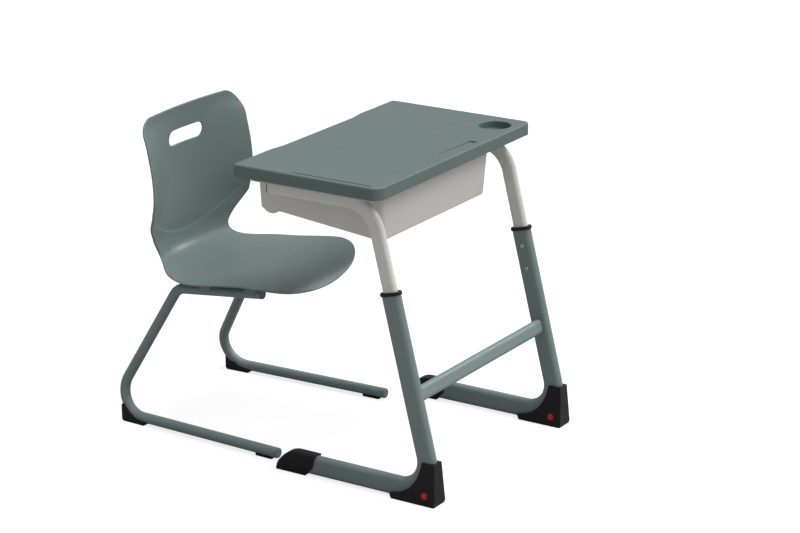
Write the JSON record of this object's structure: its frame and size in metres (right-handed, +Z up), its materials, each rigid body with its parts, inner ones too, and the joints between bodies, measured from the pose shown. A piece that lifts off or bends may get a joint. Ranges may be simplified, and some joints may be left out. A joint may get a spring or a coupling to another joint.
{
  "type": "student desk and chair set",
  "caption": "Height-adjustable student desk with a moulded top, cup recess and open book box, with its matching one-piece shell chair on a bent-tube sled base.",
  "frame": {"origin": "bottom centre of the set's bounding box, on the floor", "axes": "+X across the desk, +Y from the desk toward the seated student's back, +Z up"},
  "size_m": [0.686, 0.9831, 0.7823],
  "materials": {
    "teal_plastic": "fine-textured moulded plastic, grey teal",
    "teal_shell": "satin moulded plastic, grey teal",
    "teal_plug": "moulded plug, grey teal",
    "teal_paint": "satin powder coat, grey teal",
    "white_paint": "satin powder coat, warm off-white",
    "white_plastic": "moulded plastic, warm off-white",
    "black_plastic": "moulded plastic, black",
    "red_plastic": "glossy plug, red",
    "steel": "zinc-plated steel"
  },
  "bodies": {
    "desk_base": {"lower_leg_left": "teal_paint", "lower_leg_right": "teal_paint", "leg_crossbar": "teal_paint", "height_clamp_screws": "steel", "guide_collar_left": "black_plastic", "guide_collar_right": "black_plastic", "corner_shoe_left": "black_plastic", "corner_shoe_right": "black_plastic", "corner_shoe_plugs": "red_plastic", "foot_cap_left": "black_plastic", "foot_cap_right": "black_plastic"},
    "desk_upper": {"desktop_panel": "teal_plastic", "book_box": "white_plastic", "upper_leg_left": "white_paint", "upper_leg_right": "white_paint", "upper_tube_end_plugs": "black_plastic", "upper_tube_slide_bushes": "black_plastic", "top_fixing_tabs": "white_paint", "top_fixing_screws": "steel", "book_box_screws": "steel"},
    "chair": {"chair_frame_left": "teal_paint", "chair_frame_right": "teal_paint", "front_glide_left": "black_plastic", "front_glide_right": "black_plastic", "rail_end_plugs": "teal_plug", "rear_shoe_left": "black_plastic", "rear_shoe_right": "black_plastic", "seat_saddle_washers": "steel", "seat_saddles": "teal_shell", "seat_screws": "steel", "seat_shell": "teal_shell", "seat_tie_front": "teal_paint", "seat_tie_rear": "teal_paint", "seat_tube_end_plugs": "teal_plug"}
  },
  "joints": [
    {"name": "desk_height", "type": "slide", "parent": "desk_base", "child": "desk_upper", "axis": [0, 0.2383, 0.9712], "range_m": [-0.12, 0]},
    {"name": "chair_slide", "type": "slide", "parent": "desk_base", "child": "chair", "axis": [0, 1, 0], "range_m": [-0.25, 0.35]}
  ]
}
